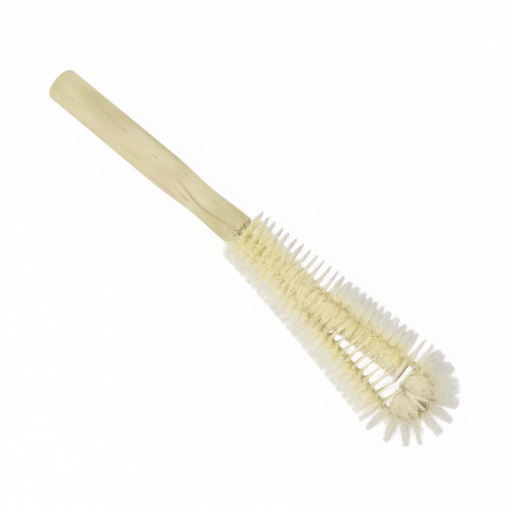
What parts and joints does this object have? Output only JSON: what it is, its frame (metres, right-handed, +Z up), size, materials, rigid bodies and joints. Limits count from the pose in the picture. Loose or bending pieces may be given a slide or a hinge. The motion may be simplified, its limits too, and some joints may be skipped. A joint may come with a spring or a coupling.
{
  "type": "bottle brush",
  "caption": "Bottle brush with a turned wooden handle and a long bent loop of twisted wire that holds a helix of pale bristles.",
  "frame": {"origin": "middle of the flat face at the handle's butt end", "axes": "+X along the handle, from the butt towards the tip of the loop; the loop lies level in the XY plane; +Z up as the brush lies on its side"},
  "size_m": [0.3482, 0.0695, 0.0356],
  "materials": {
    "handle_wood": "pale turned wood, sanded, with a thin satin varnish",
    "wire": "drawn galvanised wire, dull grey",
    "bristle": "pale cream bristle, paler at the ends"
  },
  "bodies": {
    "root": {"handle": "handle_wood", "wire_strand_a": "wire", "wire_strand_b": "wire", "bristles_leg_a": "bristle", "bristles_tip": "bristle", "bristles_leg_b": "bristle"}
  },
  "joints": []
}
